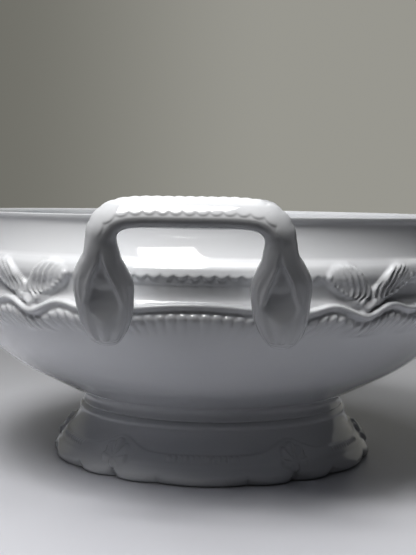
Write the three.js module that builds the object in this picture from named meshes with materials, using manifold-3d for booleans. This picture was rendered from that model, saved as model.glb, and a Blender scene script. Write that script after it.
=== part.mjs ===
// An oval, footed soup tureen in glazed porcelain: the bowl, the foot and the two loop handles
// are cast apart and luted together, so each is a solid of its own here.
// Millimetres, +Z up, origin on the table under the middle. The long axis, handle to handle, is Y.
import * as THREE from "three";
import { mergeVertices } from "three/addons/utils/BufferGeometryUtils.js";
import Module from "manifold-3d";

const wasm = await Module();
wasm.setup();

// Driving dimensions
const rimHeight = 101.5; // table to the top of the rim
const footHeight = 22; // table to the joint between the foot and the bowl
const rimHalfWidth = 107.4; // widest point of the lip, on the short axis
const shoulderHalfWidth = 110.4; // widest point of the bowl, on the short axis
const neckHalfWidth = 55; // the joint between the foot and the bowl, on the short axis
const footHalfWidth = 67.4; // the foot's widest lobes, on the short axis
const wall = 4.6; // thickness of the bowl's wall
const neckStretch = 9.6; // how much longer than its half width the neck is, half its length
const flareStretch = 0.55; // what each millimetre of half width past the neck adds to that
const lutingGap = 0.3; // clearance between pieces that are luted together

const seatHeight = rimHeight - 5; // the ledge inside the rim, where a cover would rest
const seatWidth = 3.2; // how far the ledge reaches in from the rim's inner wall
const rimInner = rimHalfWidth - 4.2; // inner wall above the ledge

const footUnits = 6; // scalloped units round the foot, each a narrow, a wide and a narrow lobe
const unitDrift = 0.05; // shifts the units so that they are equally long on the oval
const lobeEnds = [0, 0.27, 0.73, 1]; // where the lobes of a unit meet
const cuspDepths = [5, 2.6, 2.6, 5]; // how far the foot cuts in where they meet
const lobeFullness = 0.6; // below 1 the lobes are fuller than half a sine wave

const gripHalfWidth = 27.2; // the middle of the handle to the middle of a leg
const gripReach = 171.5; // the bowl's axis to the middle of the grip
const gripHeight = 103; // table to the middle of the grip
const gripHalfDepth = 5.6; // the grip's section, front to back
const gripHalfRise = 4.9; // the grip's section, top to bottom
const leafHalfWidth = 9.6; // the leaf at the foot of each leg
const leafHalfDepth = 8;
const leafHalfLength = 17.5;
const leafLean = THREE.MathUtils.degToRad(24); // the leaf's top leans out with the leg

const bowlSides = 64;
const footSides = 96;
const gripSides = 8;
const gripSteps = 36;

const porcelain = new THREE.MeshStandardMaterial({ color: 0xe9ebed, roughness: 0.12, metalness: 0 });

// The outside of the bowl in section on the short axis, from the middle of its underside to the lip.
function outerProfile() {
  return [
    [0, footHeight + 1.5],
    [42, footHeight + 1.5],
    [45, footHeight],
    [neckHalfWidth, footHeight],
    [neckHalfWidth - 0.4, footHeight + 2.6],
    [61, 28.6],
    [70, 33.4],
    [81, 39.6],
    [91, 47.2],
    [98.6, 54.2],
    [104, 60.4],
    [107.6, 65.4],
    [109.4, 68.8],
    [108.4, 70.2],
    [110.8, 72],
    [108.8, 73.8],
    [107.8, 76],
    [109.2, 79],
    [shoulderHalfWidth, 81],
    [shoulderHalfWidth - 0.4, 83],
    [109, 85],
    [106.6, 88],
    [105.2, 91.5],
    [104.8, 95.5],
    [105.7, 98.8],
    [rimHalfWidth, rimHeight - 0.9],
    [rimHalfWidth - 1, rimHeight],
  ];
}

// The inside, from the rim's inner edge over the ledge and down to the middle of the floor.
function innerProfile() {
  return [
    [rimInner, rimHeight],
    [rimInner, seatHeight],
    [rimInner - seatWidth, seatHeight],
    [rimInner - seatWidth, seatHeight - 3],
    [102.2, 86],
    [103, 76],
    [99.8, 64],
    [93.4, 56],
    [84.6, 48.6],
    [74, 41.8],
    [62, 35.6],
    [46, 30.8],
    [0, 28.6],
  ];
}

// How much further than r the oval reaches along Y, at a level whose half width is r.
function stretchAt(r) {
  if (r < neckHalfWidth) return (neckStretch * r) / neckHalfWidth;
  return neckStretch + flareStretch * (r - neckHalfWidth);
}

// Turns a section round Z, then draws each level out along Y by what stretchOf gives for it.
function ovalLathe(section, sides, stretchOf, shape = (r) => r) {
  const points = section.map(([r, z]) => new THREE.Vector2(r, z));
  const turned = new THREE.LatheGeometry(points, sides);
  turned.rotateX(Math.PI / 2);
  const at = turned.getAttribute("position");
  for (let i = 0; i < at.count; i++) {
    const level = i % section.length;
    const [r, z] = section[level];
    const turn = Math.atan2(at.getY(i), at.getX(i));
    const shaped = r === 0 ? 0 : shape(r, turn);
    const reach = shaped + (r === 0 ? 0 : stretchOf(r, level));
    at.setXYZ(i, shaped * Math.cos(turn), reach * Math.sin(turn), z);
  }
  return turned;
}

// A closed mesh as a manifold-3d solid, faces out.
function solidOf(geometry) {
  const bare = geometry.clone();
  bare.deleteAttribute("normal");
  bare.deleteAttribute("uv");
  const merged = mergeVertices(bare, 1e-3);
  const triVerts = new Uint32Array(merged.index.array);
  const mesh = new wasm.Mesh({ numProp: 3, vertProperties: merged.attributes.position.array, triVerts });
  return new wasm.Manifold(mesh);
}

function geometryOf(solid) {
  const { vertProperties, triVerts } = solid.getMesh();
  const geometry = new THREE.BufferGeometry();
  geometry.setAttribute("position", new THREE.BufferAttribute(vertProperties, 3));
  geometry.setIndex(new THREE.BufferAttribute(triVerts, 1));
  geometry.computeVertexNormals();
  return geometry;
}

function piece(name, geometry) {
  const mesh = new THREE.Mesh(geometry, porcelain);
  mesh.name = name;
  return mesh;
}

// The bowl: one wall of even thickness, with the moulded band, the lip and the ledge inside it.
function bowlGeometry() {
  const outside = outerProfile();
  const section = [...outside, ...innerProfile()];
  const stretchOf = (r, level) => {
    const inward = level < outside.length ? 0 : wall * Math.min(1, r / neckHalfWidth);
    return stretchAt(r + inward);
  };
  return ovalLathe(section, bowlSides, stretchOf);
}

// The bowl's outside grown by the luting gap, solid all through, to trim the handles with.
function bowlTrimmer() {
  const grown = outerProfile().map(([r, z]) => [r === 0 ? 0 : r + lutingGap, z]);
  const section = [...grown, [0, rimHeight]];
  return solidOf(ovalLathe(section, bowlSides, stretchAt));
}

// How deep the scalloped edge of the foot cuts in, for a direction round the foot.
function scallopDepth(turn) {
  const fromFront = turn + Math.PI / 2;
  const even = fromFront - unitDrift * Math.sin(2 * fromFront);
  const along = THREE.MathUtils.euclideanModulo((even * footUnits) / (Math.PI * 2) + 0.5, 1);
  const lobe = along < lobeEnds[1] ? 0 : along < lobeEnds[2] ? 1 : 2;
  const share = (along - lobeEnds[lobe]) / (lobeEnds[lobe + 1] - lobeEnds[lobe]);
  const rim = THREE.MathUtils.lerp(cuspDepths[lobe], cuspDepths[lobe + 1], share);
  return rim * (1 - Math.sin(share * Math.PI) ** lobeFullness);
}

// The foot: a hollow scalloped ring with a rolled edge, standing on a flat rim.
function footGeometry() {
  const top = footHeight - lutingGap;
  const section = [
    [60, 0],
    [footHalfWidth - 0.8, 0],
    [footHalfWidth, 1.6],
    [footHalfWidth, 5],
    [66, 8.4],
    [62.8, 12],
    [59.1, 16.4],
    [56.4, 19.4],
    [neckHalfWidth, 20.6],
    [neckHalfWidth, top],
    [46.5, top],
    [48.6, 16],
    [54, 8],
    [58, 3],
    [60, 0],
  ];
  const shape = (r, turn) => {
    const share = (r - neckHalfWidth) / (footHalfWidth - neckHalfWidth);
    return r - scallopDepth(turn) * THREE.MathUtils.clamp(share, 0, 1);
  };
  return ovalLathe(section, footSides, stretchAt, shape);
}

// The middle line of the front handle, up one leg, across the grip and down the other.
function gripLine() {
  const leg = [
    [gripHalfWidth + 0.6, 147, 68],
    [gripHalfWidth + 0.8, 156, 77],
    [gripHalfWidth + 0.4, 163, 87],
    [gripHalfWidth - 0.8, 168.6, 95.4],
    [gripHalfWidth - 7, gripReach - 0.4, gripHeight - 0.8],
    [gripHalfWidth / 2.6, gripReach, gripHeight],
  ];
  const up = leg.map(([x, reach, z]) => new THREE.Vector3(-x, -reach, z));
  const down = leg.map(([x, reach, z]) => new THREE.Vector3(x, -reach, z)).reverse();
  return new THREE.CatmullRomCurve3([...up, ...down], false, "centripetal");
}

// The leaf at the foot of each leg, which spreads the handle's pull over the bowl's wall.
function leafSolid(side) {
  const leaf = new THREE.SphereGeometry(1, 20, 12);
  leaf.scale(leafHalfWidth, leafHalfDepth, leafHalfLength);
  leaf.rotateX(leafLean);
  leaf.translate(side * (gripHalfWidth + 0.6), -152, 77);
  return solidOf(leaf);
}

function handleGeometry() {
  const section = new THREE.Shape();
  section.absellipse(0, 0, gripHalfRise, gripHalfDepth, 0, Math.PI * 2);
  const sweep = new THREE.ExtrudeGeometry(section, {
    curveSegments: gripSides,
    steps: gripSteps,
    extrudePath: gripLine(),
  });
  const whole = solidOf(sweep).add(leafSolid(-1)).add(leafSolid(1));
  const trimmed = whole.subtract(bowlTrimmer());
  const parts = trimmed.decompose().sort((a, b) => b.volume() - a.volume());
  return geometryOf(parts[0]);
}

const tureen = new THREE.Group();
tureen.add(piece("bowl", bowlGeometry()));
tureen.add(piece("foot", footGeometry()));
const frontHandle = piece("handle_front", handleGeometry());
const backHandle = piece("handle_back", frontHandle.geometry.clone());
backHandle.rotation.z = Math.PI;
tureen.add(frontHandle, backHandle);

export default tureen;
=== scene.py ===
# Soup tureen in glazed porcelain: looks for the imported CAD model. Metres, +Z up, handles along Y.
# Pieces are shaped in millimetres and scaled to metres when their mesh is written.
import math
import bmesh
import bpy
import numpy as np
from mathutils import Euler, Matrix, Vector


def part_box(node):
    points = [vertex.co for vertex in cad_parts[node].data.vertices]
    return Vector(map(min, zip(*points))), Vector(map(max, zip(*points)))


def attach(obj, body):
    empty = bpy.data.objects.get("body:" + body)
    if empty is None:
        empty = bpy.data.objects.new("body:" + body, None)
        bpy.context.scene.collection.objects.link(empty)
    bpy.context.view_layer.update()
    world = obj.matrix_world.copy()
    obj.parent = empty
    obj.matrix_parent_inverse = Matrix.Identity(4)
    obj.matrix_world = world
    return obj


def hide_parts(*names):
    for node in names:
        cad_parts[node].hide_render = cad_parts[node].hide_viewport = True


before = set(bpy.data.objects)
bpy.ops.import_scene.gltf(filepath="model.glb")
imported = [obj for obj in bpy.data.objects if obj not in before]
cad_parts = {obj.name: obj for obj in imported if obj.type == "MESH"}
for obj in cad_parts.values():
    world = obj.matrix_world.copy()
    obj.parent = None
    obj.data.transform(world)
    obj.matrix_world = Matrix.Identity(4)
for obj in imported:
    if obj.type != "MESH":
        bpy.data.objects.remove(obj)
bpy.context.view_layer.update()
mm = 0.001

bowlLow, bowlHigh = [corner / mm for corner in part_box("bowl")]
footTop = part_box("foot")[1].z / mm
handleReach = -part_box("handle_front")[0].y / mm

plan = {
    "neckHalfWidth": 55.0,
    "neckStretch": 9.6,  # extra half length at the neck
    "flareStretch": 0.55,  # extra half length for each mm past the neck
}


# helpers that every piece uses

def ramp(x, low, high):  # 0 below low, 1 above high, smooth between
    t = np.clip((x - low) / (high - low), 0, 1)
    return t * t * (3 - 2 * t)


def roundBar(distance, half):  # a half-round bar's height, 1 on its middle line
    return np.sqrt(np.clip(1 - (distance / half) ** 2, 0, 1))


def bump(distance, width):  # a soft bump, 1 in the middle
    return np.exp(-((distance / width) ** 2))


def stretchAt(halfWidth):  # how much longer than wide the oval is at a level
    inside = plan["neckStretch"] * halfWidth / plan["neckHalfWidth"]
    outside = plan["neckStretch"] + plan["flareStretch"] * (halfWidth - plan["neckHalfWidth"])
    return np.where(halfWidth < plan["neckHalfWidth"], inside, outside)


def catmullRom(points, perSpan):  # smooth line through the points, perSpan steps between two of them
    p = np.array(points, float)
    p = np.vstack([2 * p[0] - p[1], p, 2 * p[-1] - p[-2]])
    t = np.linspace(0, 1, perSpan, endpoint=False)[:, None]
    spans = []
    for i in range(1, len(p) - 2):
        a, b, c, d = p[i - 1], p[i], p[i + 1], p[i + 2]
        spans.append(0.5 * (2 * b + (c - a) * t + (2 * a - 5 * b + 4 * c - d) * t**2
                            + (3 * b - a - 3 * c + d) * t**3))
    return np.vstack([*spans, p[-2][None, :]])


def resample(outline):  # outline rows are r, z, wanted mesh gap, inward; returns rows at those gaps
    perSpan = 40
    dense = catmullRom(outline, perSpan)
    spot = np.arange(len(dense)) / perSpan
    gap = np.interp(spot, np.arange(len(outline)), [row[2] for row in outline])
    lengths = np.hypot(*np.diff(dense[:, :2], axis=0).T)
    count = np.concatenate([[0], np.cumsum(lengths / (0.5 * (gap[1:] + gap[:-1])))])
    wanted = np.linspace(0, count[-1], int(round(count[-1])) + 1)
    return np.array([np.interp(wanted, count, dense[:, k]) for k in range(4)]).T


def writePiece(bm, name, material):
    bmesh.ops.scale(bm, vec=(mm, mm, mm), verts=bm.verts)
    for face in bm.faces:
        face.smooth = True
    mesh = bpy.data.meshes.new(name)
    bm.to_mesh(mesh)
    bm.free()
    piece = bpy.data.objects.new(name, mesh)
    bpy.context.scene.collection.objects.link(piece)
    mesh.materials.append(material)
    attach(piece, "root")
    print(name, "made with", len(mesh.vertices), "vertices")
    return piece


def spinOutline(rows, steps, fineRows, cuts):
    # turns the rows round Z, then cuts the edges that run around between fineRows into narrower ones
    bm = bmesh.new()
    halfWidth = bm.verts.layers.float.new("halfWidth")
    inward = bm.verts.layers.float.new("inward")
    fine = bm.verts.layers.float.new("fine")
    line = []
    for index, (r, z, _, inset) in enumerate(rows):
        vert = bm.verts.new((r, 0, z))
        vert[halfWidth] = r
        vert[inward] = inset
        vert[fine] = 1.0 if fineRows[0] <= index <= fineRows[1] else 0.0
        line.append(vert)
    edges = [bm.edges.new(pair) for pair in zip(line, line[1:])]
    bmesh.ops.spin(bm, geom=line + edges, cent=(0, 0, 0), axis=(0, 0, 1), angle=math.tau,
                   steps=steps, use_merge=True, use_duplicate=False)
    bmesh.ops.remove_doubles(bm, verts=bm.verts, dist=1e-4)
    if cuts:
        level = 1e-6  # an edge that climbs less than this runs around
        around = [e for e in bm.edges if all(v[fine] > 0.5 for v in e.verts)
                  and abs(e.verts[0].co.z - e.verts[1].co.z) < level]
        bmesh.ops.subdivide_edges(bm, edges=around, cuts=cuts, use_grid_fill=True)
    bmesh.ops.recalc_face_normals(bm, faces=bm.faces)
    return bm


def layOnOval(bm, shapeAt=None):
    # moves each vertex from its circle to the oval; returns plan angle, place and normal arrays
    halfWidth = bm.verts.layers.float["halfWidth"]
    inward = bm.verts.layers.float["inward"]
    r = np.array([v[halfWidth] for v in bm.verts])
    inset = np.array([v[inward] for v in bm.verts])
    co = np.array([v.co for v in bm.verts])
    turn = np.arctan2(co[:, 1], co[:, 0])
    stretch = stretchAt(r + inset) * np.clip(r, 0, 1)
    if shapeAt is not None:
        r = shapeAt(r, co[:, 2], turn)
    place = np.column_stack([r * np.cos(turn), (r + stretch) * np.sin(turn), co[:, 2]])
    for vert, at in zip(bm.verts, place):
        vert.co = at
    bm.normal_update()
    normal = np.array([v.normal for v in bm.verts])
    return turn, r, place, normal


def push(bm, place, normal, height):  # moves each vertex out along its normal
    for vert, at in zip(bm.verts, place + normal * height[:, None]):
        vert.co = at


def fromFront(turn):  # angle away from the nearer handle, 0 to a quarter turn
    return np.arcsin(np.clip(np.abs(np.cos(turn)), 0, 1))


# the bowl

bowlShape = {
    "shoulder": bowlHigh.x,
    "rimTop": bowlHigh.z,
    "joint": bowlLow.z,
    "wall": 4.6,
    "steps": 300,
    "bandCuts": 3,
    "bandFrom": 62.0,
    "bandTo": 87.5,
    "bandInside": 100.0,  # the band is wider than this
}
band = {
    "pitch": 48.67,  # leaf pair to leaf pair
    "handleUnit": 37.65,  # half the plain stretch behind a handle
    "mantle": 1.1,
    "mantleEdge": 82.3,
    "mantleFrom": 84.6,  # the mantle melts into the neck between these two heights
    "mantleTo": 88.8,
    "mantleThinning": 0.45,  # of the mantle over the middle of a leaf pair
    "threadAt": 84.3,  # a fine raised line behind the handle
    "threadHalf": 0.8,
    "threadHeight": 0.25,
    "scallopPitch": 4.4,
    "scallopDepth": 1.05,
    "scallopSharpness": 0.7,
    "ledgeHeight": 0.3,
    "ledgeAt": 79.2,
    "cordHalf": 1.05,
    "cordHeight": 1.8,
    "cordLevel": 70.97,
    "cordSway": (0.8, 1.17),  # of its waves, one and two to a leaf pair
    "cordBehindHandle": (70.6, 1.9),  # its height at the handle's ends, and its rise between them
    "gadroonStart": 2.2,  # below the cord
    "gadroonPitch": 3.8,
    "gadroonHeight": 0.95,
    "gadroonLength": 8.5,
    "gadroonLean": 0.8,
    "gadroonBed": 0.1,
}


def quarterArc(angle):  # distance along the shoulder from the handle's middle
    a = np.linspace(0, math.pi / 2, 400)
    half = bowlShape["shoulder"]
    length = half + float(stretchAt(half))
    pace = np.sqrt((half * np.cos(a)) ** 2 + (length * np.sin(a)) ** 2)
    arc = np.concatenate([[0], np.cumsum(0.5 * (pace[1:] + pace[:-1]) * np.diff(a))])
    return np.interp(angle, a, arc)


def cordLine(arc):  # height of the wavy cord
    once, twice = band["cordSway"]
    low, rise = band["cordBehindHandle"]
    phase = (arc - band["handleUnit"]) / band["pitch"] * math.tau + math.pi
    wave = band["cordLevel"] - once * np.cos(phase) - twice * np.cos(2 * phase)
    behind = low + rise * (0.5 + 0.5 * np.cos(math.pi * arc / band["handleUnit"]))
    return np.where(arc > band["handleUnit"], wave, behind)


leaf = {  # half of a leaf pair: distance from its axis, height above its dip
    "halfWidth": 22.3,
    "dip": 69.0,  # where a pair's stems meet
    "lean": 0.25,
    "lastPair": 3,  # counted from the handle
    "contour": ((0, 9.3), (2.4, 11.6), (6, 14.3), (8.8, 15.9), (12, 16.7), (15.5, 16.6), (18, 15.8),
                (20, 14.2), (21.4, 12.2), (22.4, 9), (30, 4)),
    "border": ((0, 1.2), (2.2, 2.4), (8, 5.0), (12, 7.0), (16.4, 9.4), (18.6, 11), (20, 12.3), (22, 15)),
    "beads": ((8.3, 6.4, 0.95), (10.6, 7.5, 1.0), (13, 8.8, 1.05), (15.3, 10.3, 1.0), (17.4, 11.7, 0.95),
              (19.2, 13.1, 0.8)),
    "bodyHeight": 1.6,
    "bedHeight": 0.7,  # of the leaf under its beads
    "beadHeight": 1.5,
    "ribPitch": 2.5,
    "ribHeight": 1.15,
    "ribSharpness": 1.6,
    "firstRib": 1.2,
    "curlMiddle": 8.0,  # height where a rib comes nearest to the axis
    "curlAbove": 0.1,
    "curlBelow": 0.12,
    "stemHalf": 0.7,
    "stemHeight": 0.9,
    "lumpSize": (3.2, 3.6),
    "lumpAt": 3.4,
    "lumpHeight": 1.3,
}


def leafPair(arc, z):
    # distance from the pair's leaning axis and height above its dip
    first = band["handleUnit"] + band["pitch"] / 2
    last = leaf["lastPair"]
    order = np.clip(np.round((arc - first) / band["pitch"]), 0, last)
    lean = leaf["lean"] * (1 - order / last)
    rise = z - leaf["dip"]
    offAxis = np.abs(arc - first - order * band["pitch"] - lean * rise)
    return offAxis, rise


def lineAt(line, at):
    return np.interp(at, [p[0] for p in line], [p[1] for p in line])


def leafRelief(arc, z):
    # height of the leaf pair, and how much of it shows at each place
    offAxis, rise = leafPair(arc, z)
    below = lineAt(leaf["contour"], offAxis) - rise
    above = rise - lineAt(leaf["border"], offAxis)
    body = ramp(above, -0.5, 0.4)

    # ribs that curl out at both ends
    top = leaf["curlAbove"] * np.clip(rise - leaf["curlMiddle"], 0, 9) ** 2
    bottom = leaf["curlBelow"] * np.clip(leaf["curlMiddle"] - rise, 0, 7) ** 2
    curled = offAxis - top - bottom
    order = (curled - leaf["firstRib"]) / leaf["ribPitch"]
    rib = np.clip(1 - 2 * np.abs(order - np.round(order)), 0, 1) ** leaf["ribSharpness"]
    rib = rib * ramp(curled, -0.2, 0.6) * (1 - 0.85 * ramp(curled, 7.5, 13))
    rib = rib * ramp(below, -0.4, 1.4) * ramp(above, 0.2, 1.4)
    valley = ramp(0.2 - curled, -0.2, 1.2) * ramp(above, 1.0, 3.0)
    height = body * (leaf["bodyHeight"] + leaf["ribHeight"] * rib - valley)

    # stem, bead row and the lump between two stems
    stem = roundBar(above + 0.1, leaf["stemHalf"]) * ramp(21 - offAxis, 0, 4) * ramp(offAxis, 3, 6)
    height = np.maximum(height, leaf["stemHeight"] * stem)
    for beadSide, beadUp, size in leaf["beads"]:
        ball = roundBar(np.hypot(offAxis - beadSide, rise - beadUp), size)
        height = np.maximum(height, leaf["bedHeight"] * body + leaf["beadHeight"] * ball)
    lumpWide, lumpHigh = leaf["lumpSize"]
    lump = np.clip(1 - (offAxis / lumpWide) ** 2 - ((rise - leaf["lumpAt"]) / lumpHigh) ** 2, 0, 1) ** 0.6
    height = np.maximum(height, leaf["lumpHeight"] * lump)

    soft = 0.4 + ramp(offAxis, 9, 14)  # the outer half melts into the mantle
    shown = ramp(below / soft, -1, 1) * ramp(leaf["halfWidth"] - offAxis, 0, 0.8)
    return height, shown


def mantleRelief(arc, z, offAxis):
    # the smooth mantle over the band, with a scalloped lower edge
    scallop = np.abs(np.cos(math.pi * arc / band["scallopPitch"])) ** band["scallopSharpness"]
    edge = band["mantleEdge"] - band["scallopDepth"] * scallop
    edge = np.where(offAxis < 20, leaf["dip"] + 6, edge)  # the leaf covers the edge here
    mantle = ramp(z, edge - 0.1, edge + 0.5) * (1 - ramp(z, band["mantleFrom"], band["mantleTo"]))
    mantle = band["mantle"] * mantle * (1 - band["mantleThinning"] * ramp(13 - offAxis, 0, 6))
    thread = band["threadHeight"] * bump(z - band["threadAt"], band["threadHalf"])
    return mantle + thread * ramp(band["handleUnit"] - arc, 0, 6)


def gadroonRelief(arc, below):
    # a row of leaning strokes, each with a round end at the top
    stroke = (arc + band["gadroonLean"] * ramp(arc, 4, 30) * below) / band["gadroonPitch"]
    across = 2 * (stroke - np.round(stroke))
    cap = 1 - np.clip(below / (0.5 * band["gadroonPitch"]), 0, 1)
    lobe = np.sqrt(np.clip(1 - across**2 - cap**2, 0, 1)) * (below > 0)
    fade = 1 - ramp(below, 0.15 * band["gadroonLength"], band["gadroonLength"])
    return fade * (band["gadroonHeight"] * lobe + band["gadroonBed"] * ramp(below, -0.1, 0.5))


def bandRelief(arc, z):
    offAxis, _ = leafPair(arc, z)
    leafHeight, shown = leafRelief(arc, z)
    mantle = mantleRelief(arc, z, offAxis) * (1 - shown) + leafHeight * shown
    ledge = band["ledgeHeight"] * ramp(z, band["ledgeAt"], band["ledgeAt"] + 0.6) * ramp(offAxis, 20.5, 22)
    cord = cordLine(arc)
    rope = band["cordHeight"] * roundBar(z - cord, band["cordHalf"])
    skirt = 0.5 * band["cordHeight"] * (1 - ramp(cord - z, 0.3, 1.9)) * (z < cord)
    gadroon = gadroonRelief(arc, cord - band["gadroonStart"] - z)
    return np.maximum.reduce([mantle, ledge, rope, skirt, gadroon])


def bowlOutline():
    # rows: half width, height, mesh gap, how far inside the outer wall
    top = bowlShape["rimTop"]
    joint = bowlShape["joint"]
    wall = bowlShape["wall"]
    return [
        (0, joint + 1.5, 12, 0), (30, joint + 1.5, 12, 0), (42, joint + 1.5, 4, 0),  # under the bowl
        (45, joint + 0.2, 2, 0), (50, joint, 3, 0), (54.2, joint - 0.2, 0.8, 0), (55.5, joint - 0.7, 0.5, 0),
        (55.5, joint - 0.2, 0.5, 0), (55.0, joint + 1.0, 0.9, 0), (54.8, joint + 2.6, 1, 0),  # the waist
        (56.2, joint + 4.4, 1.5, 0), (61, 28.6, 2.6, 0), (70, 33.4, 3.4, 0), (81, 39.6, 3.4, 0),
        (91, 47.2, 3.2, 0), (98.6, 54.2, 2.4, 0), (104, 60.4, 0.9, 0), (107.2, 65.4, 0.62, 0),
        (108.6, 69, 0.5, 0), (108.4, 72, 0.5, 0), (108.1, 73.3, 0.45, 0), (107.7, 74.4, 0.45, 0),  # the band
        (107.6, 75.8, 0.5, 0), (107.8, 78, 0.5, 0), (108.1, 79.8, 0.45, 0), (108.5, 81.4, 0.45, 0),
        (108.5, 82.8, 0.45, 0), (108.1, 84.6, 0.5, 0), (107.2, 86.6, 0.6, 0), (106.2, 89.2, 1.2, 0),
        (105.4, 92.0, 1.5, 0), (104.9, 94.8, 1.4, 0), (104.7, 97.2, 1.2, 0), (104.8, 98.9, 0.8, 0),  # neck
        (105.2, 100.1, 0.6, 0.4), (105.2, 101, 0.45, 0.9), (104.8, top, 0.45, 2.2), (104, 101.2, 0.45, 3.4),
        (103.4, 100, 0.7, 4), (103.2, 97.6, 0.8, 4.4), (102.9, 96.7, 0.5, wall),  # the ledge under the lip
        (101.6, 96.5, 0.6, wall), (100.4, 96.3, 0.5, wall), (100, 95.3, 0.7, wall), (100.3, 92, 2.4, wall),
        (102.2, 86, 3, wall), (103, 76, 3.4, wall), (99.8, 64, 4, wall), (93.4, 56, 4, wall),
        (84.6, 48.6, 4.2, wall), (74, 41.8, 4.4, wall), (62, 35.6, 5, wall), (46, 30.8, 6, 3.8),
        (24, 28.9, 10, 2), (0, 28.6, 12, 0),
    ]


def makeBowl(material):
    rows = resample(bowlOutline())
    low, high, inside = bowlShape["bandFrom"], bowlShape["bandTo"], bowlShape["bandInside"]
    inBand = [i for i, (r, z, _, inset) in enumerate(rows) if low < z < high and inset < 0.1 and r > inside]
    bm = spinOutline(rows, bowlShape["steps"], (inBand[0], inBand[-1]), bowlShape["bandCuts"])
    turn, _, place, normal = layOnOval(bm)
    fine = bm.verts.layers.float["fine"]
    isFine = np.array([v[fine] for v in bm.verts]) > 0.5
    arc = quarterArc(fromFront(turn))
    push(bm, place, normal, np.where(isFine, bandRelief(arc, place[:, 2]), 0))
    bmesh.ops.recalc_face_normals(bm, faces=bm.faces)
    piece = writePiece(bm, "tureen_bowl", material)
    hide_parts("bowl")


# the foot

footShape = {
    "halfWidth": 67.4,
    "steps": 800,
    "units": 6,
    "unitDrift": 0.05,  # evens out the units along the oval
    "unitArc": 78.0,  # length of one scalloped unit
    "lobeEnds": (0, 0.27, 0.73, 1),
    "cuspDepths": (5.6, 3.2, 3.2, 5.6),
    "fullness": 0.55,
    "fadeHeight": 3.4,  # a scallop fades out here, and higher up for a deep one
    "fadePerDepth": 0.55,
    "cutInside": 59.8,  # the scallops don't cut further in than this
    "reliefTop": 19.0,
    "reliefInside": 55.9,
    "swagLevel": 10.3,
    "swagRise": 4.4,  # at the leaf ornaments
    "stepHeight": 0.6,
    "beadPitch": 2.4,
    "beadHalf": 1.0,
    "beadHeight": 0.55,
    "beadBelowSwag": 1.5,
    "lipHeight": 0.35,
    "lipTop": 6.8,
    "leafBase": 6.2,
    "leafSize": 8.6,
    "leafLobes": 4.2,
    "leafHeight": (1.2, 0.8),  # its body and its veins
    "knobAt": 5.2,
    "knobHalf": 2.0,
    "knobHeight": 1.9,
}


def alongUnit(turn):  # place within a scalloped unit, 0 and 1 at its sharp cusps
    front = turn + math.pi / 2
    even = front - footShape["unitDrift"] * np.sin(2 * front)
    return np.mod(even * footShape["units"] / math.tau + 0.5, 1)


def cuspCut(turn, z):  # how far the scalloped edge steps back from the plain oval
    along = alongUnit(turn)
    ends = footShape["lobeEnds"]
    depths = footShape["cuspDepths"]
    cut = np.zeros_like(along)
    for k in range(len(ends) - 1):
        share = np.clip((along - ends[k]) / (ends[k + 1] - ends[k]), 0, 1)
        rim = depths[k] + (depths[k + 1] - depths[k]) * share
        reach = footShape["fadeHeight"] + footShape["fadePerDepth"] * rim
        inLobe = (along >= ends[k]) & (along <= ends[k + 1])
        dip = rim * (1 - np.sin(math.pi * share) ** footShape["fullness"]) * (1 - ramp(z, 0.5, reach))
        cut = np.where(inLobe, dip, cut)
    return cut


def footRelief(turn, z):
    # a stepped swag with beads, a lip over the scallops and a leaf ornament over each sharp cusp
    along = alongUnit(turn)
    fromCusp = np.minimum(along, 1 - along) * footShape["unitArc"]
    swag = footShape["swagLevel"] + footShape["swagRise"] * np.exp(-((fromCusp / 10) ** 2))
    step = footShape["stepHeight"] * ramp(swag - z, -0.2, 0.6) * ramp(z, 4.8, 7.4)
    pitch = footShape["beadPitch"]
    drop = swag - z - footShape["beadBelowSwag"]
    fromBead = np.hypot(np.mod(fromCusp, pitch) - pitch / 2, drop * 1.1)
    bead = footShape["beadHeight"] * roundBar(fromBead, footShape["beadHalf"]) * ramp(fromCusp, 22, 25)
    lip = footShape["lipHeight"] * ramp(footShape["lipTop"] - z, -0.2, 0.5) * ramp(z, 1.0, 3.5)

    leafV = (z - footShape["leafBase"]) * 1.3
    spread = np.hypot(fromCusp, leafV)
    fan = np.arctan2(fromCusp, np.maximum(leafV, 0.01))
    lobes = np.abs(np.cos(fan * footShape["leafLobes"]))
    leafEdge = footShape["leafSize"] - 2.2 * (fan / 1.4) ** 2 + 0.9 * lobes
    body, veins = footShape["leafHeight"]
    palm = ramp(leafEdge - spread, -0.3, 1.2) * ramp(leafV, -1.5, 0.5) * (body + veins * lobes**1.2)
    fromKnob = np.hypot(fromCusp, (z - footShape["knobAt"]) * 1.1)
    knob = footShape["knobHeight"] * roundBar(fromKnob, footShape["knobHalf"])
    return np.maximum.reduce([step + bead, lip, palm, knob])


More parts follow.
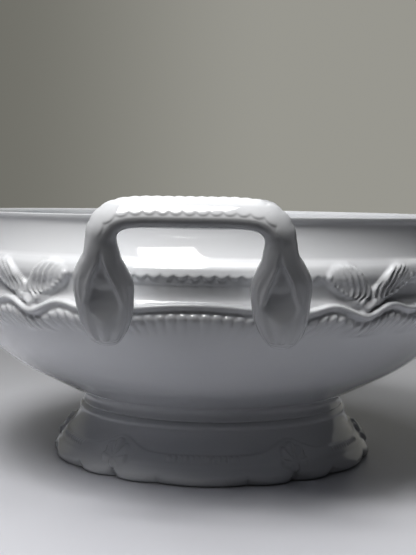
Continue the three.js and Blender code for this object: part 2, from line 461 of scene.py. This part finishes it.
def makeFoot(material):
    # outline rows: half width, height, mesh gap, inward
    top = footTop
    wide = footShape["halfWidth"]
    outline = [
        (46.5, top, 2, 0), (50, top, 2, 0), (54.2, top, 0.8, 0), (55.2, top - 0.4, 0.5, 0),
        (55.8, 20.7, 0.45, 0), (56.5, 19.9, 0.45, 0), (56.7, 19.2, 0.45, 0), (56.6, 18.5, 0.45, 0),
        (57.3, 16.4, 0.6, 0), (58.8, 13.6, 0.6, 0), (61.0, 10.6, 0.55, 0), (63.2, 7.8, 0.55, 0),
        (65.3, 5.2, 0.5, 0), (66.9, 3.0, 0.45, 0), (wide, 1.6, 0.45, 0), (67.0, 0.6, 0.4, 0),
        (66.2, 0.1, 0.4, 0), (64, 0, 1, 0), (61, 0, 1.4, 0), (59.4, 0.8, 1, 0), (57.4, 3.6, 2.4, 0),
        (53.2, 8.6, 3, 0), (48.6, 16, 3, 0), (46.6, top - 1.2, 1.6, 0), (46.5, top, 2, 0),
    ]
    bm = spinOutline(resample(outline), footShape["steps"], (0, -1), 0)
    inner = footShape["cutInside"]

    def shapeAt(r, z, turn):
        return r - cuspCut(turn, z) * np.clip((r - inner) / (wide - inner), 0, 1)

    turn, r, place, normal = layOnOval(bm, shapeAt)
    z = place[:, 2]
    outside = (normal[:, 2] > -0.2) & (z < footShape["reliefTop"]) & (r > footShape["reliefInside"])
    push(bm, place, normal, np.where(outside, footRelief(turn, z), 0))
    bmesh.ops.recalc_face_normals(bm, faces=bm.faces)
    piece = writePiece(bm, "tureen_foot", material)
    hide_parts("foot")


# the handles

handleShape = {
    "reach": handleReach - 4.9,  # bowl's axis to the middle of the grip
    "gripHeight": 102.9,
    "perSpan": 24,  # steps of the middle line between two rows
    "stations": 420,
    "around": 84,
    "squareness": 0.86,  # of a leg's section, under 1 is boxier than an ellipse
    "gripSquareness": 1.25,  # of the grip's section, over 1 leans towards a diamond
    "gripSag": 1.2,  # the grip's front corner sits low
    "knurlPitch": 3.3,
    "knurlDepth": 0.24,
    "scallopPitch": 4.0,
    "scallopHeight": 0.28,
    "channelDrops": (10, 14, 20, 27, 31, 33),  # below the grip's middle, one for each half width
    "channelHalf": (0.2, 0.9, 3.6, 5.8, 5.2, 3.2),
    "channelDepth": 1.7,
    "channelLip": 0.5,
    "outerRim": (0.9, 0.6),  # distance from the leaf's edge, height
    "innerRim": (2.2, 0.5),
    "veinHeight": 0.8,
    "veinLobes": 7.0,
}


def handleStations():
    # rows: x, reach, height, half width, half thickness, lean of the outer face (0 front, 1 up)
    reach = handleShape["reach"]
    up = handleShape["gripHeight"]
    half = [
        (0, reach, up, 4.7, 4.5, -0.04), (8, reach, up, 4.7, 4.5, -0.04),
        (15, reach, up - 0.1, 4.7, 4.5, -0.04), (20.4, reach - 0.1, up - 0.7, 4.7, 4.4, -0.04),
        (24.2, reach - 0.5, up - 2.4, 4.8, 4.1, -0.05), (26.5, reach - 1.4, up - 5.4, 4.8, 3.7, -0.06),
        (27.2, reach - 3.2, up - 8.8, 4.9, 3.4, -0.2), (27.3, reach - 5.6, up - 13.2, 5.8, 3.3, -0.32),
        (27.6, reach - 7.8, up - 16.2, 7.3, 3.4, -0.38), (27.8, reach - 10.5, up - 19.8, 9.0, 3.6, -0.41),
        (27.6, reach - 13.3, up - 23.6, 9.6, 3.8, -0.42), (27.6, reach - 16.2, up - 27.4, 9.3, 4.0, -0.43),
        (27.7, reach - 19.3, up - 31.2, 8.9, 4.1, -0.45), (28.0, reach - 22.6, up - 35.0, 8.1, 4.0, -0.49),
        (28.1, reach - 25.8, up - 38.2, 6.8, 3.6, -0.53), (27.9, reach - 28.6, up - 40.4, 5.0, 3.0, -0.54),
        (27.8, reach - 30.8, up - 41.6, 2.2, 1.8, -0.54),
    ]
    mirrored = [(-row[0], *row[1:]) for row in half[:0:-1]]
    dense = catmullRom(mirrored + half, handleShape["perSpan"])
    steps = np.linalg.norm(np.diff(dense[:, :3], axis=0), axis=1)
    length = np.concatenate([[0], np.cumsum(steps)])
    at = np.linspace(0, length[-1], handleShape["stations"])
    return np.array([np.interp(at, length, dense[:, k]) for k in range(6)]).T, at - length[-1] / 2


def handleRelief(c, outer, drop, along, toTip, halfWide):
    # height added to the outer face at c across (-1 outer or upper edge, 1 inner or lower edge)
    leg = ramp(drop, 4.0, 9.0)
    leafy = ramp(drop, 16.0, 23.0)
    scallop = np.abs(np.cos(math.pi * along / handleShape["scallopPitch"])) ** 0.7
    edging = ramp(-0.34 + 0.2 * scallop - c, -0.06, 0.07) * (1 - leg)
    edging = handleShape["scallopHeight"] * edging

    # a channel with a lip down the middle of the leaf
    x = c * halfWide
    width = np.interp(drop, handleShape["channelDrops"], handleShape["channelHalf"])
    lip = bump(np.abs(x) - width - 0.5, 0.5) * ramp(drop, 12, 18) * (1 - ramp(drop, 26, 31))
    lip = handleShape["channelLip"] * lip
    softEnd = 1 - ramp(drop + 0.1 * x**2, 23, 35)
    channel = ramp(width - np.abs(x), -0.3, 1.2) * ramp(drop, 9, 15) * softEnd
    channel = handleShape["channelDepth"] * channel

    # two rims along the leaf's edge and veins at its tip
    toEdge = np.minimum((1 - np.abs(c)) * halfWide, 0.55 * toTip)
    rims = [high * bump(toEdge - at, 0.4) for at, high in (handleShape["outerRim"], handleShape["innerRim"])]
    fan = np.arctan2(x, toTip + 2.0)
    veins = np.abs(np.cos(fan * handleShape["veinLobes"])) ** 1.5 * ramp(drop, 28, 32)
    veins = handleShape["veinHeight"] * veins * ramp(toEdge, 2.4, 3.2)
    return (edging + sum(rims) * leafy + veins + lip - channel) * outer


def tubeMesh(count, length):
    # a closed tube of rings, count vertices in each, to be put in place ring by ring
    bm = bmesh.new()
    ring = list(bmesh.ops.create_circle(bm, cap_ends=True, segments=count, radius=1)["verts"])
    edges = list(bm.edges)
    rings = [ring]
    for _ in range(length - 1):
        made = bmesh.ops.extrude_edge_only(bm, edges=edges)["geom"]
        fresh = {g for g in made if isinstance(g, bmesh.types.BMVert)}
        edges = [g for g in made if isinstance(g, bmesh.types.BMEdge) and fresh.issuperset(g.verts)]
        ring = [next(e.other_vert(v) for e in v.link_edges if e.other_vert(v) in fresh) for v in ring]
        rings.append(ring)
    bmesh.ops.contextual_create(bm, geom=edges)
    return bm, rings


def makeHandle(name, node, turned, material):
    rows, along = handleStations()
    count = handleShape["around"]
    centre = np.column_stack([rows[:, 0], -rows[:, 1], rows[:, 2]])
    tangent = np.gradient(centre, axis=0)
    tangent /= np.linalg.norm(tangent, axis=1)[:, None]
    lean = rows[:, 5] * math.pi / 2
    face = np.column_stack([0 * lean, -np.cos(lean), np.sin(lean)])
    face -= tangent * np.sum(face * tangent, axis=1)[:, None]
    face /= np.linalg.norm(face, axis=1)[:, None]
    across = np.cross(tangent, face)  # towards the lower edge of the grip, the inner edge of a leg
    angle = np.linspace(0, math.tau, count, endpoint=False)
    cosine, sine = np.cos(angle), np.sin(angle)
    bm, rings = tubeMesh(count, len(rows))
    for k, ringVerts in enumerate(rings):
        halfWide, halfThick = rows[k][3], rows[k][4]
        drop = handleShape["gripHeight"] - rows[k][2]
        leg = ramp(drop, 2.0, 12.0)
        power = handleShape["gripSquareness"] * (1 - leg) + handleShape["squareness"] * leg
        c = np.sign(cosine) * np.abs(cosine) ** power
        t = np.sign(sine) * np.abs(sine) ** power
        outer = np.clip(t, 0, 1)
        sag = handleShape["gripSag"] * outer * (1 - leg)
        notch = np.abs(np.cos(math.pi * along[k] / handleShape["knurlPitch"])) ** 0.8
        knurl = handleShape["knurlDepth"] * notch * bump(c + 1, 0.1) * (1 - leg)
        toTip = along[-1] - abs(along[k])
        rise = handleRelief(c, outer, drop, along[k], toTip, halfWide)
        offset = across[k] * (halfWide * c - knurl + sag)[:, None] + face[k] * (halfThick * t + rise)[:, None]
        for vert, at in zip(ringVerts, centre[k] + offset):
            vert.co = at
    bmesh.ops.recalc_face_normals(bm, faces=bm.faces)
    if turned:
        bmesh.ops.rotate(bm, verts=bm.verts, cent=(0, 0, 0), matrix=Matrix.Rotation(math.pi, 3, "Z"))
    piece = writePiece(bm, name, material)
    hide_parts(node)


# materials

glazeLook = {
    "thickColour": (0.69, 0.705, 0.735),
    "thinColour": (0.725, 0.73, 0.745),
    "refraction": 1.52,
    "poolScale": 22,
    "poolDetail": 3,
    "rippleScale": 60,
    "rippleStrength": 0.02,
    "rippleDepth": 0.001,
    "roughness": (0.03, 0.08),
}


def glazeGroup():
    # uneven glaze: colour, roughness and height from a place on the piece
    group = bpy.data.node_groups.new("unevenGlaze", "ShaderNodeTree")
    socket = group.interface.new_socket
    socket(name="Place", in_out="INPUT", socket_type="NodeSocketVector")
    socket(name="Thick Colour", in_out="INPUT", socket_type="NodeSocketColor")
    socket(name="Thin Colour", in_out="INPUT", socket_type="NodeSocketColor")
    socket(name="Colour", in_out="OUTPUT", socket_type="NodeSocketColor")
    socket(name="Roughness", in_out="OUTPUT", socket_type="NodeSocketFloat")
    socket(name="Height", in_out="OUTPUT", socket_type="NodeSocketFloat")
    nodes = group.nodes
    links = group.links
    given = nodes.new("NodeGroupInput")
    result = nodes.new("NodeGroupOutput")
    pools = nodes.new("ShaderNodeTexNoise")
    pools.inputs["Scale"].default_value = glazeLook["poolScale"]
    pools.inputs["Detail"].default_value = glazeLook["poolDetail"]
    ripple = nodes.new("ShaderNodeTexNoise")
    ripple.inputs["Scale"].default_value = glazeLook["rippleScale"]
    mix = nodes.new("ShaderNodeMix")
    mix.data_type = "RGBA"
    polish = nodes.new("ShaderNodeMapRange")
    polish.inputs["To Min"].default_value = glazeLook["roughness"][0]
    polish.inputs["To Max"].default_value = glazeLook["roughness"][1]
    links.new(given.outputs["Place"], pools.inputs["Vector"])
    links.new(given.outputs["Place"], ripple.inputs["Vector"])
    links.new(pools.outputs["Fac"], mix.inputs["Factor"])
    links.new(given.outputs["Thick Colour"], mix.inputs["A"])
    links.new(given.outputs["Thin Colour"], mix.inputs["B"])
    links.new(pools.outputs["Fac"], polish.inputs["Value"])
    links.new(mix.outputs["Result"], result.inputs["Colour"])
    links.new(polish.outputs["Result"], result.inputs["Roughness"])
    links.new(ripple.outputs["Fac"], result.inputs["Height"])
    return group


def glazedPorcelain():
    material = bpy.data.materials.new("glazedPorcelain")
    material.use_nodes = True
    nodes = material.node_tree.nodes
    links = material.node_tree.links
    shader = nodes["Principled BSDF"]
    shader.inputs["IOR"].default_value = glazeLook["refraction"]
    coords = nodes.new("ShaderNodeTexCoord")
    glazeNode = nodes.new("ShaderNodeGroup")
    glazeNode.node_tree = glazeGroup()
    glazeNode.inputs["Thick Colour"].default_value = (*glazeLook["thickColour"], 1)
    glazeNode.inputs["Thin Colour"].default_value = (*glazeLook["thinColour"], 1)
    bumpNode = nodes.new("ShaderNodeBump")
    bumpNode.inputs["Strength"].default_value = glazeLook["rippleStrength"]
    bumpNode.inputs["Distance"].default_value = glazeLook["rippleDepth"]
    links.new(coords.outputs["Object"], glazeNode.inputs["Place"])
    links.new(glazeNode.outputs["Colour"], shader.inputs["Base Color"])
    links.new(glazeNode.outputs["Roughness"], shader.inputs["Roughness"])
    links.new(glazeNode.outputs["Height"], bumpNode.inputs["Height"])
    links.new(bumpNode.outputs["Normal"], shader.inputs["Normal"])
    return material


def plainMaterial(name, colour, roughness):
    material = bpy.data.materials.new(name)
    material.use_nodes = True
    shader = material.node_tree.nodes["Principled BSDF"]
    shader.inputs["Base Color"].default_value = (*colour, 1)
    shader.inputs["Roughness"].default_value = roughness
    return material


# stage, light and camera

stage = {
    "front": -0.19,  # the floor is the top of a pale block that ends here
    "back": 0.95,
    "halfWidth": 1.6,
    "wallAt": 2.6,
    "wallHalfWidth": 2.6,
    "wallLow": -1.4,
    "wallHigh": 3.4,
    "shadeFrom": -0.71,  # painted shade darkens the glowing wall to the left between these two places
    "shadeTo": 0.042,
    "floorColour": (0.66, 0.665, 0.70),
    "floorRoughness": 0.4,
    # painted light: the colour the backdrop glows with on its brighter side
    "wallGlowColour": (0.375, 0.37, 0.34),
    "wallShade": (0.225, 0.222, 0.2),
    "roomLight": (0.016, 0.016, 0.016),  # dim light from all round, the camera sees wallShade instead
}


def flatSheet(name, low, high, material):  # level, or upright along X, between two corners
    mesh = bpy.data.meshes.new(name)
    bm = bmesh.new()
    bmesh.ops.create_grid(bm, x_segments=1, y_segments=1, size=0.5)
    span = Vector(high) - Vector(low)
    flat = span.z < 1e-6
    bmesh.ops.scale(bm, vec=(span.x, span.y if flat else span.z, 1), verts=bm.verts)
    if not flat:
        bmesh.ops.rotate(bm, verts=bm.verts, cent=(0, 0, 0), matrix=Matrix.Rotation(math.pi / 2, 3, "X"))
    bmesh.ops.translate(bm, verts=bm.verts, vec=(Vector(low) + Vector(high)) / 2)
    bm.to_mesh(mesh)
    bm.free()
    sheet = bpy.data.objects.new(name, mesh)
    bpy.context.scene.collection.objects.link(sheet)
    mesh.materials.append(material)


def glowingWallMaterial():
    # the backdrop glows with painted light, and painted shade darkens it to the left
    material = plainMaterial("glowingTaupeWall", (0, 0, 0), 1)
    nodes = material.node_tree.nodes
    links = material.node_tree.links
    coords = nodes.new("ShaderNodeTexCoord")
    split = nodes.new("ShaderNodeSeparateXYZ")
    across = nodes.new("ShaderNodeMapRange")
    across.inputs["From Min"].default_value = stage["shadeFrom"]
    across.inputs["From Max"].default_value = stage["shadeTo"]
    across.interpolation_type = "SMOOTHSTEP"
    mix = nodes.new("ShaderNodeMix")
    mix.data_type = "RGBA"
    mix.inputs["A"].default_value = (*stage["wallShade"], 1)
    mix.inputs["B"].default_value = (*stage["wallGlowColour"], 1)
    links.new(coords.outputs["Object"], split.inputs["Vector"])
    links.new(split.outputs["X"], across.inputs["Value"])
    links.new(across.outputs["Result"], mix.inputs["Factor"])
    links.new(mix.outputs["Result"], nodes["Principled BSDF"].inputs["Emission Color"])
    nodes["Principled BSDF"].inputs["Emission Strength"].default_value = 1
    return material


def makeStage():
    floor = plainMaterial("paleFloor", stage["floorColour"], stage["floorRoughness"])
    half = stage["halfWidth"]
    flatSheet("floor", (-half, stage["front"], 0), (half, stage["back"], 0), floor)
    flatSheet("floorEdge", (-half, stage["front"], stage["wallLow"]), (half, stage["front"], 0), floor)
    wide = stage["wallHalfWidth"]
    wallLow = (-wide, stage["wallAt"], stage["wallLow"])
    wallHigh = (wide, stage["wallAt"], stage["wallHigh"])
    flatSheet("backdrop", wallLow, wallHigh, glowingWallMaterial())
    print("stage: floor and backdrop")


lamps = {  # radiance is the brightness of the lamp's face
    "windowLight": {"at": (-0.19, -0.555, 0.725), "aim": (0, -0.06, 0.06), "side": 0.38,
                    "radiance": 15.3, "colour": (1, 0.99, 0.97)},
    "ceilingLight": {"at": (-0.1, -0.05, 1.0), "aim": (0, 0, 0.05), "side": 0.8,
                     "radiance": 1.7, "colour": (0.98, 0.99, 1)},
}


def areaLight(name, lamp):
    light = bpy.data.lights.new(name, "AREA")
    light.shape = "SQUARE"
    light.size = lamp["side"]
    light.energy = lamp["radiance"] * math.pi * lamp["side"] ** 2
    light.color = lamp["colour"]
    holder = bpy.data.objects.new(name, light)
    bpy.context.scene.collection.objects.link(holder)
    holder.location = lamp["at"]
    facing = Vector(lamp["aim"]) - Vector(lamp["at"])
    holder.rotation_euler = facing.to_track_quat("-Z", "Y").to_euler()


def makeLights():
    for name, lamp in lamps.items():
        areaLight(name, lamp)
    world = bpy.data.worlds.new("room")
    bpy.context.scene.world = world
    world.use_nodes = True
    nodes = world.node_tree.nodes
    seen = nodes.new("ShaderNodeLightPath")
    room = nodes.new("ShaderNodeMix")
    room.data_type = "RGBA"
    room.inputs["A"].default_value = (*stage["roomLight"], 1)
    room.inputs["B"].default_value = (*stage["wallShade"], 1)
    world.node_tree.links.new(seen.outputs["Is Camera Ray"], room.inputs["Factor"])
    world.node_tree.links.new(room.outputs["Result"], nodes["Background"].inputs["Color"])
    print(f"lights: {len(lamps)} lamps and dim room light")


view = {  # where the camera stands, and how it is turned from looking level at the axis
    "lens": 85,
    "nearest": 0.01,
    "distance": 0.564,
    "height": 0.1069,
    "azimuth": math.radians(2.5),
    "swing": math.radians(0.284),
    "tiltDown": math.radians(3.41),
    "roll": math.radians(0.9),
    "transform": "Standard",
    "exposure": 0.15,
    "gamma": 0.75,
}


def makeCamera():
    camera = bpy.data.objects.new("camera", bpy.data.cameras.new("camera"))
    camera.data.lens = view["lens"]
    camera.data.clip_start = view["nearest"]
    turn = Euler((math.pi / 2 - view["tiltDown"], 0, view["azimuth"] + view["swing"])).to_matrix()
    turn = turn @ Matrix.Rotation(view["roll"], 3, "Z")
    camera.matrix_world = Matrix.Translation((
        view["distance"] * math.sin(view["azimuth"]),
        -view["distance"] * math.cos(view["azimuth"]),
        view["height"],
    )) @ turn.to_4x4()
    bpy.context.scene.collection.objects.link(camera)
    bpy.context.scene.camera = camera
    bpy.context.scene.view_settings.view_transform = view["transform"]
    bpy.context.scene.view_settings.exposure = view["exposure"]
    bpy.context.scene.view_settings.gamma = view["gamma"]
    print("camera: placed")


makeCamera()
glaze = glazedPorcelain()
makeBowl(glaze)
makeFoot(glaze)
makeHandle("tureen_handle_front", "handle_front", False, glaze)
makeHandle("tureen_handle_back", "handle_back", True, glaze)
makeStage()
makeLights()
